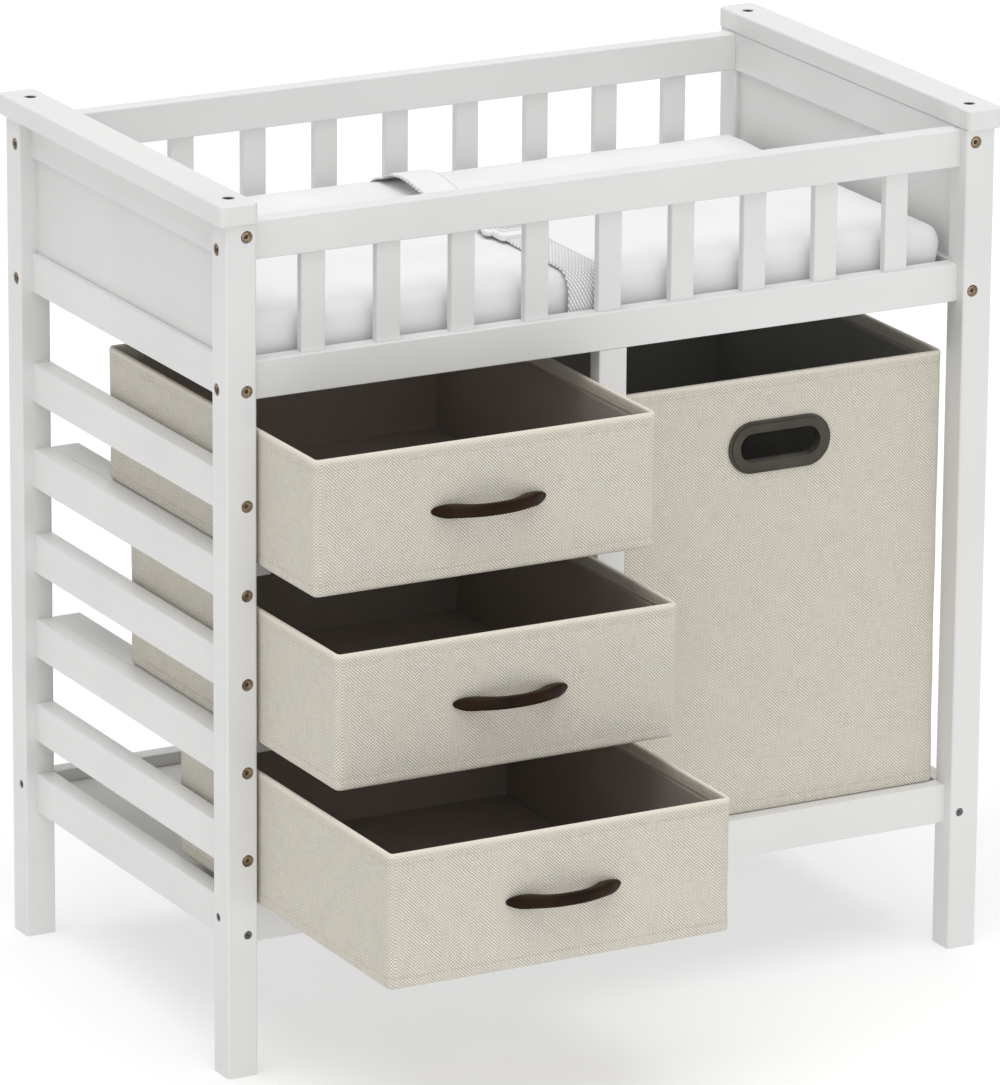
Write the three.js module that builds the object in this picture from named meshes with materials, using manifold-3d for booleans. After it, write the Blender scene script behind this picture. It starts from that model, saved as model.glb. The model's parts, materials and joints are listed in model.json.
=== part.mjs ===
// Changing table with a fenced tray, three drawers and a laundry hamper.
// Millimetres, +X to the right, +Y to the back, +Z up. The origin is on the floor,
// at the middle of the table's outline with its drawers standing open.
import * as THREE from 'three';
import { mergeVertices } from 'three/addons/utils/BufferGeometryUtils.js';
import Module from 'manifold-3d';

const wasm = await Module();
wasm.setup();

// Posts: four, at the corners. x counts from the left posts' outer faces,
// y from the front posts' front faces.
const WIDTH = 888;
const DEPTH = 514;
const POST_X = 34;
const POST_Y = 33;
const POST_HEIGHT = 897;
const POST_EDGE = 2.5;
const INNER_RIGHT = WIDTH - POST_X;
const INNER_BACK = DEPTH - POST_Y;

// Rails, slats and panels are set back from the posts' outer faces.
const END_SETBACK = 13;
const FENCE_SETBACK = 13;
const BOARD_EDGE = 1.5;
const GROOVE_PLAY = 0.25;

// Cap boards over the two ends.
const CAP_THICK = 22;
const CAP_OUTER_LIP = 8;
const CAP_INNER_LIP = 1;
const CAP_END_LIP = 4.5;
const CAP_CORNER = 7;
const CAP_EASE = 2;
const CAP_HOLE_X = 16;
const CAP_HOLE_Y = 27;
const CAP_HOLE_RADIUS = 6.25;
const CAP_HOLE_DEPTH = 12;

// Heights of the horizontal pieces.
const TOP_RAIL = { low: 856, high: 896 };
const END_TOP_RAIL = { low: 856, high: POST_HEIGHT };
const FENCE_BOTTOM_RAIL = { low: 712, high: 752 };
const END_PANEL_RAIL = { low: 711, high: 753 };
const BASE_RAIL = { low: 139, high: 181 };
const SLAT_HEIGHT = 42;
const SLAT_PITCH = 93.5;
const SLAT_COUNT = 5;
const TOP_SLAT_CENTRE = 613;

// End panels, let into grooves in the rails above and below.
const PANEL_THICK = 9;
const PANEL_TONGUE = 6;
const PANEL_EDGE = 1;

// Changing board and bottom panel, let into grooves all round.
const SHELF_TONGUE = 5;
const CHANGING_BOARD = { low: 731, high: 740 };
const BOTTOM_PANEL = { low: 162, high: 167 };

// Fence balusters, front and back.
const BALUSTER_COUNT = 9;
const BALUSTER_PITCH = 84.5;
const BALUSTER_WIDTH = 27;
const BALUSTER_THICK = 10;
const BALUSTER_EDGE = 1.5;
const BALUSTER_SETBACK = 5;

// Divider between the drawer bay and the hamper bay.
const DIVIDER = { low: 430, high: 462 };

// Runners under the upper two drawers, level with the slats beside them.
const RUNNER_WIDTH = 32;
const RUNNER_THICK = 20;
const RUNNER_SLAT = { upper: 2, lower: 4 };

// Bolt counterbores in the posts.
const BOLT_RADIUS = 6.5;
const BASE_BOLT_RADIUS = 4.6;
const BOLT_DEPTH = 3;
const BOLT_SIDES = 24;
const BOLT_INSET_X = 23;
const BOLT_INSET_Y = 22;
const END_TOP_BOLT = 884;
const END_BASE_BOLT = 152.5;
const FENCE_TOP_BOLT = 869;
const FENCE_BASE_BOLT = 168.5;
// Bolts into slats, panel rails and lower fence rails sit this far below their middles.
const BOLT_DROP = 7;

// Drawers: fabric boxes that slide forward. "open" is how far each stands out.
const DRAWER = { left: 37, right: 423.5, depth: 470.5, height: 142 };
const DRAWER_CLOSED_FRONT = 29;
const DRAWER_WALL = 4;
const DRAWER_FLOOR = 5;
const FABRIC_CORNER = 5;
const FABRIC_INNER_CORNER = 2;
const SLIDE_PLAY = 0.5;
const DRAWER_OPEN = { top: 148.5, middle: 197, bottom: 311 };

// Bow handles, one on each drawer. A bow's pulls say how far its curves are drawn out,
// as shares of its half length and of its reach.
const HANDLE_LENGTH = 130;
const HANDLE_HEIGHT = 13.5;
const HANDLE_REACH = 24;
const HANDLE_INNER_REACH = 15;
const HANDLE_PAD = 25;
const INNER_BOW = { end: 0.65, rise: 1, middle: 0.35 };
const OUTER_BOW = { end: 0.8, rise: 0.8, middle: 0.4 };
const HANDLE_CENTRE_X = 231.5;
const HANDLE_BELOW_RIM = 69.5;

// Hamper: a tall fabric box with a hand hole near its top.
const HAMPER = { left: 465, right: 849, front: 29, depth: 470.5, height: 474.5 };
const HAMPER_WALL = 4.5;
const HAND_HOLE = { x: 652.5, z: 580.5, length: 101.5, height: 37.5 };
const GROMMET_RIM = { length: 121, height: 56, thick: 2 };
const GROMMET_PLATE = { length: 114, height: 49, base: 1, thick: 3.5 };
const GROMMET_WALL = 3;
const GROMMET_NECK = { inward: 8, outward: 1.5 };

// Changing pad.
const PAD = { left: 36, right: 852, front: 36.5, back: 477.5, thick: 50 };
const PAD_CORNER = 17;
const PAD_EASE = 10;

// Steps in a quarter turn of each kind of rounding, and how far a cutter runs past a face.
const STEPS = { board: 2, post: 3, cap: 4, fabric: 4, hollow: 2, bow: 10, slot: 10, pad: 5 };
const CAP_EASE_STEPS = 2;
const PAD_EASE_STEPS = 4;
const CUT_PAST = 5;

// The origin's place in the table: halfway between the caps left to right, and
// halfway between the bottom drawer's handle and the caps' back ends.
const FRONT_MOST = DRAWER_CLOSED_FRONT - DRAWER_OPEN.bottom - HANDLE_REACH;
const ORIGIN_X = WIDTH / 2;
const ORIGIN_Y = (FRONT_MOST + DEPTH + CAP_END_LIP) / 2;

const paint = new THREE.MeshStandardMaterial({ color: 0xe9e9e8, roughness: 0.42, metalness: 0 });
const panelPaint = new THREE.MeshStandardMaterial({ color: 0xe6e6e5, roughness: 0.5, metalness: 0 });
const padCover = new THREE.MeshStandardMaterial({ color: 0xf2f2f0, roughness: 0.7, metalness: 0 });
const linen = new THREE.MeshStandardMaterial({ color: 0xc8c4b8, roughness: 0.9, metalness: 0 });
const espresso = new THREE.MeshStandardMaterial({ color: 0x30211b, roughness: 0.4, metalness: 0 });
const grommetPlastic = new THREE.MeshStandardMaterial({ color: 0x62615a, roughness: 0.5, metalness: 0 });

const table = new THREE.Group();
table.position.set(-ORIGIN_X, -ORIGIN_Y, 0);

const vec = (x, y, z) => new THREE.Vector3(x, y, z);

// Turns a closed geometry into a solid for joining and cutting.
function solidFrom(geometry) {
  const bare = geometry.clone();
  bare.deleteAttribute('normal');
  bare.deleteAttribute('uv');
  const welded = mergeVertices(bare);
  const mesh = new wasm.Mesh({
    numProp: 3,
    vertProperties: new Float32Array(welded.attributes.position.array),
    triVerts: new Uint32Array(welded.index.array),
  });
  return new wasm.Manifold(mesh);
}

function geometryFrom(solid) {
  const mesh = solid.getMesh();
  const geometry = new THREE.BufferGeometry();
  geometry.setAttribute('position', new THREE.BufferAttribute(mesh.vertProperties, 3));
  geometry.setIndex(new THREE.BufferAttribute(mesh.triVerts, 1));
  const faceted = geometry.toNonIndexed();
  faceted.computeVertexNormals();
  return faceted;
}

function cutAll(geometry, cutters) {
  if (cutters.length === 0) return geometry;
  const start = solidFrom(geometry);
  return geometryFrom(cutters.reduce((body, cutter) => body.subtract(solidFrom(cutter)), start));
}

// A rectangle with rounded corners, its low corner at 0,0.
function roundedRectangle(width, height, radius) {
  const shape = new THREE.Shape();
  shape.moveTo(radius, 0);
  shape.lineTo(width - radius, 0);
  shape.absarc(width - radius, radius, radius, -Math.PI / 2, 0);
  shape.lineTo(width, height - radius);
  shape.absarc(width - radius, height - radius, radius, 0, Math.PI / 2);
  shape.lineTo(radius, height);
  shape.absarc(radius, height - radius, radius, Math.PI / 2, Math.PI);
  shape.lineTo(0, radius);
  shape.absarc(radius, radius, radius, Math.PI, Math.PI * 1.5);
  return shape;
}

// A slot outline, a rectangle with half-round ends, centred on 0,0.
function slotOutline(length, height) {
  const radius = height / 2;
  const reach = length / 2 - radius;
  const shape = new THREE.Shape();
  shape.moveTo(-reach, -radius);
  shape.lineTo(reach, -radius);
  shape.absarc(reach, 0, radius, -Math.PI / 2, Math.PI / 2);
  shape.lineTo(-reach, radius);
  shape.absarc(-reach, 0, radius, Math.PI / 2, Math.PI * 1.5);
  return shape;
}

// Lays a shape's two axes and its extrusion along the table's axes.
function layAlong(geometry, axis) {
  const x = vec(1, 0, 0);
  const y = vec(0, 1, 0);
  const z = vec(0, 0, 1);
  const bases = { x: [y, z, x], y: [z, x, y], z: [x, y, z] };
  return geometry.applyMatrix4(new THREE.Matrix4().makeBasis(...bases[axis]));
}

// Stands a shape up in the table's x and z, with its extrusion running forward.
function standUp(geometry) {
  const basis = new THREE.Matrix4().makeBasis(vec(1, 0, 0), vec(0, 0, 1), vec(0, -1, 0));
  return geometry.applyMatrix4(basis);
}

// Turns a shape drawn with y to the front, with its extrusion running down.
function faceForward(geometry) {
  const basis = new THREE.Matrix4().makeBasis(vec(1, 0, 0), vec(0, -1, 0), vec(0, 0, -1));
  return geometry.applyMatrix4(basis);
}

// A board with eased long edges, its low corner at 0,0,0, its grain along one axis.
function boardGeometry(size, axis, edge, edgeSteps = STEPS.board) {
  const across = { x: [size.y, size.z], y: [size.z, size.x], z: [size.x, size.y] }[axis];
  const outline = roundedRectangle(across[0], across[1], edge);
  const settings = { depth: size[axis], bevelEnabled: false, curveSegments: edgeSteps };
  return layAlong(new THREE.ExtrudeGeometry(outline, settings), axis);
}

function blockCutter(low, high) {
  const size = new THREE.Vector3().subVectors(high, low);
  const centre = new THREE.Vector3().addVectors(low, high).multiplyScalar(0.5);
  return new THREE.BoxGeometry(size.x, size.y, size.z).translate(centre.x, centre.y, centre.z);
}

function addPiece(name, geometry, material, at) {
  const mesh = new THREE.Mesh(geometry, material);
  mesh.name = name;
  mesh.position.copy(at);
  table.add(mesh);
  return mesh;
}

// A board between two corners in the table's frame, less any grooves.
function addBoard(name, low, high, axis, options = {}) {
  const { edge = BOARD_EDGE, material = paint, grooves = [] } = options;
  const size = new THREE.Vector3().subVectors(high, low);
  const body = boardGeometry(size, axis, edge);
  const cutters = grooves.map((groove) => blockCutter(groove.low, groove.high));
  cutters.forEach((cutter) => cutter.translate(-low.x, -low.y, -low.z));
  return addPiece(name, cutAll(body, cutters), material, low);
}

// A blind round hole for a bolt's head, sunk into a face whose outward side is given.
function boltHole(at, outward, radius, depth) {
  const cutter = new THREE.CylinderGeometry(radius, radius, 2 * depth, BOLT_SIDES);
  const turn = new THREE.Quaternion().setFromUnitVectors(vec(0, 1, 0), outward);
  return cutter.applyQuaternion(turn).translate(at.x, at.y, at.z);
}

const slatCentre = (number) => TOP_SLAT_CENTRE - (number - 1) * SLAT_PITCH;
const middle = (span) => (span.low + span.high) / 2;
const slatNumbers = Array.from({ length: SLAT_COUNT }, (_, index) => index + 1);

// Post: bolts into the end's boards on its front or back face, and into the
// fence and base rails on its side face.
function addPost(name, isLeft, isFront) {
  const endBolts = [END_TOP_BOLT, middle(END_PANEL_RAIL) - BOLT_DROP];
  if (isLeft) endBolts.push(...slatNumbers.map((number) => slatCentre(number) - BOLT_DROP));
  const railBolts = [FENCE_TOP_BOLT, middle(FENCE_BOTTOM_RAIL) - BOLT_DROP];
  const boltX = isLeft ? BOLT_INSET_X : POST_X - BOLT_INSET_X;
  const boltY = isFront ? BOLT_INSET_Y : POST_Y - BOLT_INSET_Y;
  const endOut = vec(0, isFront ? -1 : 1, 0);
  const sideOut = vec(isLeft ? -1 : 1, 0, 0);
  const endFace = isFront ? 0 : POST_Y;
  const sideFace = isLeft ? 0 : POST_X;
  const holes = [
    ...endBolts.map((z) => boltHole(vec(boltX, endFace, z), endOut, BOLT_RADIUS, BOLT_DEPTH)),
    ...railBolts.map((z) => boltHole(vec(sideFace, boltY, z), sideOut, BOLT_RADIUS, BOLT_DEPTH)),
    boltHole(vec(boltX, endFace, END_BASE_BOLT), endOut, BASE_BOLT_RADIUS, BOLT_DEPTH),
    boltHole(vec(sideFace, boltY, FENCE_BASE_BOLT), sideOut, BASE_BOLT_RADIUS, BOLT_DEPTH),
  ];
  const body = boardGeometry(vec(POST_X, POST_Y, POST_HEIGHT), 'z', POST_EDGE, STEPS.post);
  const at = vec(isLeft ? 0 : INNER_RIGHT, isFront ? 0 : INNER_BACK, 0);
  addPiece(name, cutAll(body, holes), paint, at);
}

function addCap(name, isLeft) {
  const width = POST_X + CAP_OUTER_LIP + CAP_INNER_LIP;
  const length = DEPTH + 2 * CAP_END_LIP;
  const flat = { x: width - 2 * CAP_EASE, y: length - 2 * CAP_EASE };
  const outline = roundedRectangle(flat.x, flat.y, CAP_CORNER - CAP_EASE);
  const body = new THREE.ExtrudeGeometry(outline, {
    depth: CAP_THICK - 2 * CAP_EASE,
    bevelThickness: CAP_EASE,
    bevelSize: CAP_EASE,
    bevelSegments: CAP_EASE_STEPS,
    curveSegments: STEPS.cap,
  });
  body.translate(CAP_EASE, CAP_EASE, CAP_EASE);
  const holeX = CAP_HOLE_X + CAP_OUTER_LIP;
  const holes = [CAP_HOLE_Y + CAP_END_LIP, length - CAP_HOLE_Y - CAP_END_LIP].map((y) => {
    const at = vec(isLeft ? holeX : width - holeX, y, CAP_THICK);
    return boltHole(at, vec(0, 0, 1), CAP_HOLE_RADIUS, CAP_HOLE_DEPTH);
  });
  const left = isLeft ? -CAP_OUTER_LIP : INNER_RIGHT - CAP_INNER_LIP;
  addPiece(name, cutAll(body, holes), paint, vec(left, -CAP_END_LIP, POST_HEIGHT));
}

// Groove for a shelf's edge in the inner face of an end or fence rail.
function shelfGroove(shelf, side) {
  const low = vec(0, 0, shelf.low - GROOVE_PLAY);
  const high = vec(WIDTH, DEPTH, shelf.high + GROOVE_PLAY);
  const depth = SHELF_TONGUE + GROOVE_PLAY;
  if (side === 'left') low.x = POST_X - depth;
  if (side === 'right') high.x = INNER_RIGHT + depth;
  if (side === 'front') low.y = POST_Y - depth;
  if (side === 'back') high.y = INNER_BACK + depth;
  return { low, high };
}

// Groove for an end panel's upper or lower edge.
function panelGroove(panelLeft, low, high) {
  return {
    low: vec(panelLeft - GROOVE_PLAY, 0, low),
    high: vec(panelLeft + PANEL_THICK + GROOVE_PLAY, DEPTH, high),
  };
}

// One end: top rail, panel, panel rail, base rail, and slats on the left only.
function addEnd(side) {
  const isLeft = side === 'left';
  const outer = isLeft ? END_SETBACK : INNER_RIGHT;
  const inner = isLeft ? POST_X : WIDTH - END_SETBACK;
  const panelLeft = (outer + inner - PANEL_THICK) / 2;
  const depth = PANEL_TONGUE + GROOVE_PLAY;
  const bar = (name, span, grooves = []) => addBoard(
    `${side}_${name}`,
    vec(outer, POST_Y, span.low),
    vec(inner, INNER_BACK, span.high),
    'y',
    { grooves },
  );
  const under = END_TOP_RAIL.low;
  const over = END_PANEL_RAIL.high;
  const topGroove = panelGroove(panelLeft, under - CUT_PAST, under + depth);
  const lowGroove = panelGroove(panelLeft, over - depth, over + CUT_PAST);
  bar('top_rail', END_TOP_RAIL, [topGroove]);
  bar('panel_rail', END_PANEL_RAIL, [lowGroove, shelfGroove(CHANGING_BOARD, side)]);
  bar('base_rail', BASE_RAIL, [shelfGroove(BOTTOM_PANEL, side)]);
  addBoard(
    `${side}_panel`,
    vec(panelLeft, POST_Y, END_PANEL_RAIL.high - PANEL_TONGUE),
    vec(panelLeft + PANEL_THICK, INNER_BACK, END_TOP_RAIL.low + PANEL_TONGUE),
    'y',
    { edge: PANEL_EDGE, material: panelPaint },
  );
  if (!isLeft) return;
  slatNumbers.forEach((number) => {
    const low = slatCentre(number) - SLAT_HEIGHT / 2;
    bar(`slat_${number}`, { low, high: low + SLAT_HEIGHT });
  });
}

// One fence: top and bottom rails with the balusters between them, and the
// base rail below it.
function addFence(side) {
  const isFront = side === 'front';
  const front = isFront ? FENCE_SETBACK : INNER_BACK;
  const back = isFront ? POST_Y : DEPTH - FENCE_SETBACK;
  const rail = (name, span, grooves = []) => addBoard(
    name,
    vec(POST_X, front, span.low),
    vec(INNER_RIGHT, back, span.high),
    'x',
    { grooves },
  );
  rail(`${side}_fence_top_rail`, TOP_RAIL);
  rail(`${side}_fence_bottom_rail`, FENCE_BOTTOM_RAIL, [shelfGroove(CHANGING_BOARD, side)]);
  rail(`${side}_base_rail`, BASE_RAIL, [shelfGroove(BOTTOM_PANEL, side)]);
  const balusterFront = front + BALUSTER_SETBACK;
  for (let index = 0; index < BALUSTER_COUNT; index += 1) {
    const centre = ORIGIN_X + (index - (BALUSTER_COUNT - 1) / 2) * BALUSTER_PITCH;
    const left = centre - BALUSTER_WIDTH / 2;
    addBoard(
      `${side}_baluster_${index + 1}`,
      vec(left, balusterFront, FENCE_BOTTOM_RAIL.high),
      vec(left + BALUSTER_WIDTH, balusterFront + BALUSTER_THICK, TOP_RAIL.low),
      'z',
      { edge: BALUSTER_EDGE },
    );
  }
}

// A shelf whose edges stand in grooves on all four sides, clear of the posts.
function addShelf(name, span, material) {
  const reach = SHELF_TONGUE;
  const outline = new THREE.Shape();
  outline.moveTo(POST_X, POST_Y - reach);
  outline.lineTo(INNER_RIGHT, POST_Y - reach);
  outline.lineTo(INNER_RIGHT, POST_Y);
  outline.lineTo(INNER_RIGHT + reach, POST_Y);
  outline.lineTo(INNER_RIGHT + reach, INNER_BACK);
  outline.lineTo(INNER_RIGHT, INNER_BACK);
  outline.lineTo(INNER_RIGHT, INNER_BACK + reach);
  outline.lineTo(POST_X, INNER_BACK + reach);
  outline.lineTo(POST_X, INNER_BACK);
  outline.lineTo(POST_X - reach, INNER_BACK);
  outline.lineTo(POST_X - reach, POST_Y);
  outline.lineTo(POST_X, POST_Y);
  const settings = { depth: span.high - span.low, bevelEnabled: false };
  addPiece(name, new THREE.ExtrudeGeometry(outline, settings), material, vec(0, 0, span.low));
}

// Divider posts on the base rails, and the runners that carry two of the drawers.
function addDividerAndRunners() {
  addBoard(
    'divider_post_front',
    vec(DIVIDER.low, FENCE_SETBACK, BASE_RAIL.high),
    vec(DIVIDER.high, POST_Y, FENCE_BOTTOM_RAIL.low),
    'z',
  );
  addBoard(
    'divider_post_back',
    vec(DIVIDER.low, INNER_BACK, BASE_RAIL.high),
    vec(DIVIDER.high, DEPTH - FENCE_SETBACK, FENCE_BOTTOM_RAIL.low),
    'z',
  );
  Object.entries(RUNNER_SLAT).forEach(([level, slat]) => {
    const high = slatCentre(slat) + SLAT_HEIGHT / 2;
    const low = high - RUNNER_THICK;
    addBoard(
      `runner_left_${level}`,
      vec(POST_X, POST_Y, low),
      vec(POST_X + RUNNER_WIDTH, INNER_BACK, high),
      'y',
    );
    addBoard(
      `runner_divider_${level}`,
      vec(DIVIDER.low - RUNNER_WIDTH, FENCE_SETBACK, low),
      vec(DIVIDER.low, DEPTH - FENCE_SETBACK, high),
      'y',
    );
  });
}

// An open-topped fabric box, its low front left corner at 0,0,0.
function openBox(width, depth, height, wall, floor) {
  const outer = new THREE.ExtrudeGeometry(
    roundedRectangle(width, depth, FABRIC_CORNER),
    { depth: height, bevelEnabled: false, curveSegments: STEPS.fabric },
  );
  const hollow = new THREE.ExtrudeGeometry(
    roundedRectangle(width - 2 * wall, depth - 2 * wall, FABRIC_INNER_CORNER),
    { depth: height, bevelEnabled: false, curveSegments: STEPS.hollow },
  );
  hollow.translate(wall, wall, floor);
  return { outer, hollow };
}

// Adds an arch to a shape, from its end at x = start to its other end at x = -start.
function addArch(shape, start, reach, bow) {
  const shoulder = reach * bow.rise;
  shape.bezierCurveTo(start * bow.end, shoulder, start * bow.middle, reach, 0, reach);
  shape.bezierCurveTo(-start * bow.middle, reach, -start * bow.end, shoulder, -start, 0);
}

// A bow: two flat pads against the drawer and an arch between them.
function addHandle(level, at) {
  const half = HANDLE_LENGTH / 2;
  const inner = half - HANDLE_PAD;
  const bow = new THREE.Shape();
  bow.moveTo(-half, 0);
  bow.lineTo(-inner, 0);
  addArch(bow, -inner, HANDLE_INNER_REACH, INNER_BOW);
  bow.lineTo(half, 0);
  addArch(bow, half, HANDLE_REACH, OUTER_BOW);
  const arch = new THREE.ExtrudeGeometry(bow, {
    depth: HANDLE_HEIGHT,
    bevelEnabled: false,
    curveSegments: STEPS.bow,
  });
  const face = new THREE.ExtrudeGeometry(slotOutline(HANDLE_LENGTH, HANDLE_HEIGHT), {
    depth: 2 * HANDLE_REACH,
    bevelEnabled: false,
    curveSegments: STEPS.slot,
  });
  faceForward(arch).translate(0, 0, HANDLE_HEIGHT / 2);
  standUp(face).translate(0, HANDLE_REACH / 2, 0);
  const body = solidFrom(arch).intersect(solidFrom(face));
  addPiece(`handle_${level}`, geometryFrom(body), espresso, at);
}

function addDrawer(level, floorZ) {
  const width = DRAWER.right - DRAWER.left;
  const front = DRAWER_CLOSED_FRONT - DRAWER_OPEN[level];
  const box = openBox(width, DRAWER.depth, DRAWER.height, DRAWER_WALL, DRAWER_FLOOR);
  addPiece(
    `drawer_${level}`,
    cutAll(box.outer, [box.hollow]),
    linen,
    vec(DRAWER.left, front, floorZ),
  );
  addHandle(level, vec(HANDLE_CENTRE_X, front, floorZ + DRAWER.height - HANDLE_BELOW_RIM));
}

// A slot-shaped bar standing on the hamper's front, between two depths measured forward.
function slotBar(length, height, from, to) {
  const settings = { depth: to - from, bevelEnabled: false, curveSegments: STEPS.slot };
  const bar = new THREE.ExtrudeGeometry(slotOutline(length, height), settings);
  return standUp(bar).translate(0, -from, 0);
}

// Oval grommet: a stepped face on the hamper's front and a neck through its wall.
function addGrommet() {
  const neckLength = HAND_HOLE.length - 2 * GROOVE_PLAY;
  const neckHeight = HAND_HOLE.height - 2 * GROOVE_PLAY;
  const { length, height, base, thick } = GROMMET_PLATE;
  const { inward, outward } = GROMMET_NECK;
  const rim = slotBar(GROMMET_RIM.length, GROMMET_RIM.height, 0, GROMMET_RIM.thick);
  const plate = slotBar(length, height, base, thick);
  const neck = slotBar(neckLength, neckHeight, -inward, outward);
  const through = slotBar(
    neckLength - 2 * GROMMET_WALL,
    neckHeight - 2 * GROMMET_WALL,
    -inward - CUT_PAST,
    thick + CUT_PAST,
  );
  const body = solidFrom(rim)
    .add(solidFrom(plate))
    .add(solidFrom(neck))
    .subtract(solidFrom(through));
  const at = vec(HAND_HOLE.x, HAMPER.front, HAND_HOLE.z);
  addPiece('hamper_grommet', geometryFrom(body), grommetPlastic, at);
}

function addHamper() {
  const floorZ = BASE_RAIL.high + SLIDE_PLAY;
  const width = HAMPER.right - HAMPER.left;
  const box = openBox(width, HAMPER.depth, HAMPER.height, HAMPER_WALL, DRAWER_FLOOR);
  const hole = slotBar(HAND_HOLE.length, HAND_HOLE.height, -2 * HAMPER_WALL, 2 * HAMPER_WALL);
  hole.translate(HAND_HOLE.x - HAMPER.left, 0, HAND_HOLE.z - floorZ);
  addPiece(
    'hamper',
    cutAll(box.outer, [box.hollow, hole]),
    linen,
    vec(HAMPER.left, HAMPER.front, floorZ),
  );
  addGrommet();
}

function addPad() {
  const width = PAD.right - PAD.left - 2 * PAD_EASE;
  const depth = PAD.back - PAD.front - 2 * PAD_EASE;
  const outline = roundedRectangle(width, depth, PAD_CORNER - PAD_EASE);
  const body = new THREE.ExtrudeGeometry(outline, {
    depth: PAD.thick - 2 * PAD_EASE,
    bevelThickness: PAD_EASE,
    bevelSize: PAD_EASE,
    bevelSegments: PAD_EASE_STEPS,
    curveSegments: STEPS.pad,
  });
  body.translate(PAD_EASE, PAD_EASE, PAD_EASE);
  const at = vec(PAD.left, PAD.front, CHANGING_BOARD.high + GROOVE_PLAY);
  addPiece('changing_pad', body, padCover, at);
}

addPost('post_front_left', true, true);
addPost('post_front_right', false, true);
addPost('post_back_left', true, false);
addPost('post_back_right', false, false);
addCap('cap_left', true);
addCap('cap_right', false);
addEnd('left');
addEnd('right');
addFence('front');
addFence('back');
addShelf('changing_board', CHANGING_BOARD, panelPaint);
addShelf('bottom_panel', BOTTOM_PANEL, panelPaint);
addDividerAndRunners();
addDrawer('top', slatCentre(RUNNER_SLAT.upper) + SLAT_HEIGHT / 2 + SLIDE_PLAY);
addDrawer('middle', slatCentre(RUNNER_SLAT.lower) + SLAT_HEIGHT / 2 + SLIDE_PLAY);
addDrawer('bottom', BASE_RAIL.high + SLIDE_PLAY);
addHamper();
addPad();

export default table;
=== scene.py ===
import json
import math

import bmesh
import bpy
import numpy as np
from mathutils import Matrix, Vector, noise


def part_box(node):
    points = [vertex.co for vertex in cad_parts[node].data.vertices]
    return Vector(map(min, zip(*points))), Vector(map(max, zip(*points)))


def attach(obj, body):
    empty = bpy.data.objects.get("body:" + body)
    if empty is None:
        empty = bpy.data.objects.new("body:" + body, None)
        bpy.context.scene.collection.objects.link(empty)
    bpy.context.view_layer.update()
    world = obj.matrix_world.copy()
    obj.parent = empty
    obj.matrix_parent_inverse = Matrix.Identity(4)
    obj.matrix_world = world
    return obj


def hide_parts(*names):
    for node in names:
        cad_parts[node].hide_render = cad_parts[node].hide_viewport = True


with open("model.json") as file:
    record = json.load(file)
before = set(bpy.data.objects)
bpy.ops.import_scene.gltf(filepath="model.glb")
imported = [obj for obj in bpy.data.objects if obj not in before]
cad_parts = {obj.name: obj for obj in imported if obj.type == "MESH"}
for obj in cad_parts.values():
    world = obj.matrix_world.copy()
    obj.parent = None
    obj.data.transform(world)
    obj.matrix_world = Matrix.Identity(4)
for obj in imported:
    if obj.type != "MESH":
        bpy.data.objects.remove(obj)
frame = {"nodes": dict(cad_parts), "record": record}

for name in ("Cube", "Light", "Camera"):
    if name in bpy.data.objects:
        bpy.data.objects.remove(bpy.data.objects[name])
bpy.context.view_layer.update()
MM = 0.001
NODES = frame["nodes"]
LEVELS = ("top", "middle", "bottom")
# Lengths are in metres, except those said to be in millimetres.

# How far the edges of the boards and of the grommet are rounded.
BOARD_EASE = 0.0007
GROMMET_EASE = 0.0006

# Bolts. Heads are in millimetres: radius, thickness and, in the caps, the shank that shows in
# the hole. A bolt sits a little way in from two faces of its post or cap. Rows are heights.
# The rings of faces that take a darker second finish as painted shade, counted from the shank
# up: shank, rim, groove and socket.
BOLT_TURNS = 24
PAINTED_SHADE_RINGS = (0, 1, 3, 6)
BOLT_HEAD = (5.8, 2.4)
BASE_BOLT_HEAD = (4.2, 2.3)
CAP_BOLT_HEAD = (5.7, 2.6, 8.6)
BOLT_IN_X = 0.023
BOLT_IN_Y = 0.022
BOLT_DEPTH = 0.00295
CAP_BOLT_IN_X = 0.024
CAP_BOLT_IN_Y = 0.0315
CAP_BOLT_DEPTH = 0.0033
END_ROWS = {"end_top": 0.884, "panel_rail": 0.725, "base": 0.1525}
SIDE_ROWS = {"fence_top": 0.869, "fence_bottom": 0.725, "base": 0.1685}
SLATS = 5
SLAT_BOLT_DROP = 0.007

# Fabric boxes, in millimetres: corner radius seen from above, spacing of points along the
# sides and up the walls, wall, height of the hem bands, how far a seam stands out, height of
# the lining's floor, gap round the base board, and how near the foot and rim walls steady.
BOX_CORNER = 7.5
BOX_STEP = 9.0
WALL_STEP = 14.0
LINING_STEP = 20.0
BOX_WALL = 5.0
HEM = 12.0
SEAM_OUT = -0.25
LINING_FLOOR = 3.0
BOARD_GAP = 3.0
STEADY = 40.0
# The rounding at a box's foot and how far its walls wander, in millimetres.
DRAWER_FOOT, DRAWER_SWAY = 4.5, 0.7
HAMPER_FOOT, HAMPER_SWAY = 2.5, 0.9

# The hand hole: length, height, and steps round each end.
HOLE_LENGTH = 0.102
HOLE_HEIGHT = 0.038
HOLE_STEPS = 12

# The pad, in millimetres: corner radius seen from above, rounding at its foot, how far its
# sides lean in below the seam, the seam's height and how far in the top panel's crown runs.
# The crown leaves the seam at an angle, in radians. The pad is a little smaller than its CAD
# piece all round, and its sides pull in between the corners.
PAD_CORNER = 10.0
PAD_FOOT = 5.0
PAD_UNDER = 3.0
PAD_SEAM = 35.0
PAD_CROWN = 14.0
PAD_LEAN = 0.55
PAD_SHRINK = 0.3
PAD_PULL = 2.5
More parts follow.
